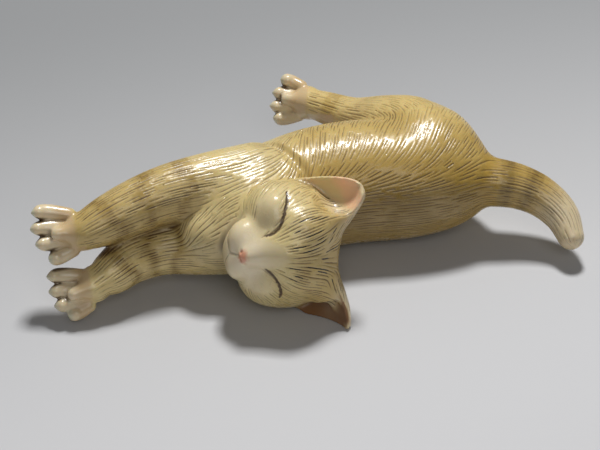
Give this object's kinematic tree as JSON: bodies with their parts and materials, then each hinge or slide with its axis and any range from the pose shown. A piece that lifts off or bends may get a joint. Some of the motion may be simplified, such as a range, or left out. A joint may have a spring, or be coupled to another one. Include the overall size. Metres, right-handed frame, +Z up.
{
  "type": "netsuke",
  "caption": "Small carved ivory toggle in the form of a cat asleep on its side and stretched out, pierced beneath for a cord.",
  "frame": {"origin": "middle of the bounding box in plan, on the surface that the cat lies on", "axes": "+X from the front paws towards the tail, -Y where the cat's back and face look, +Z up"},
  "size_m": [0.069, 0.0404, 0.0165],
  "materials": {
    "ivory": "polished and stained ivory, honey brown over the engraved fur and cream white on the face and paws"
  },
  "bodies": {
    "root": {"cat": "ivory"}
  },
  "joints": []
}
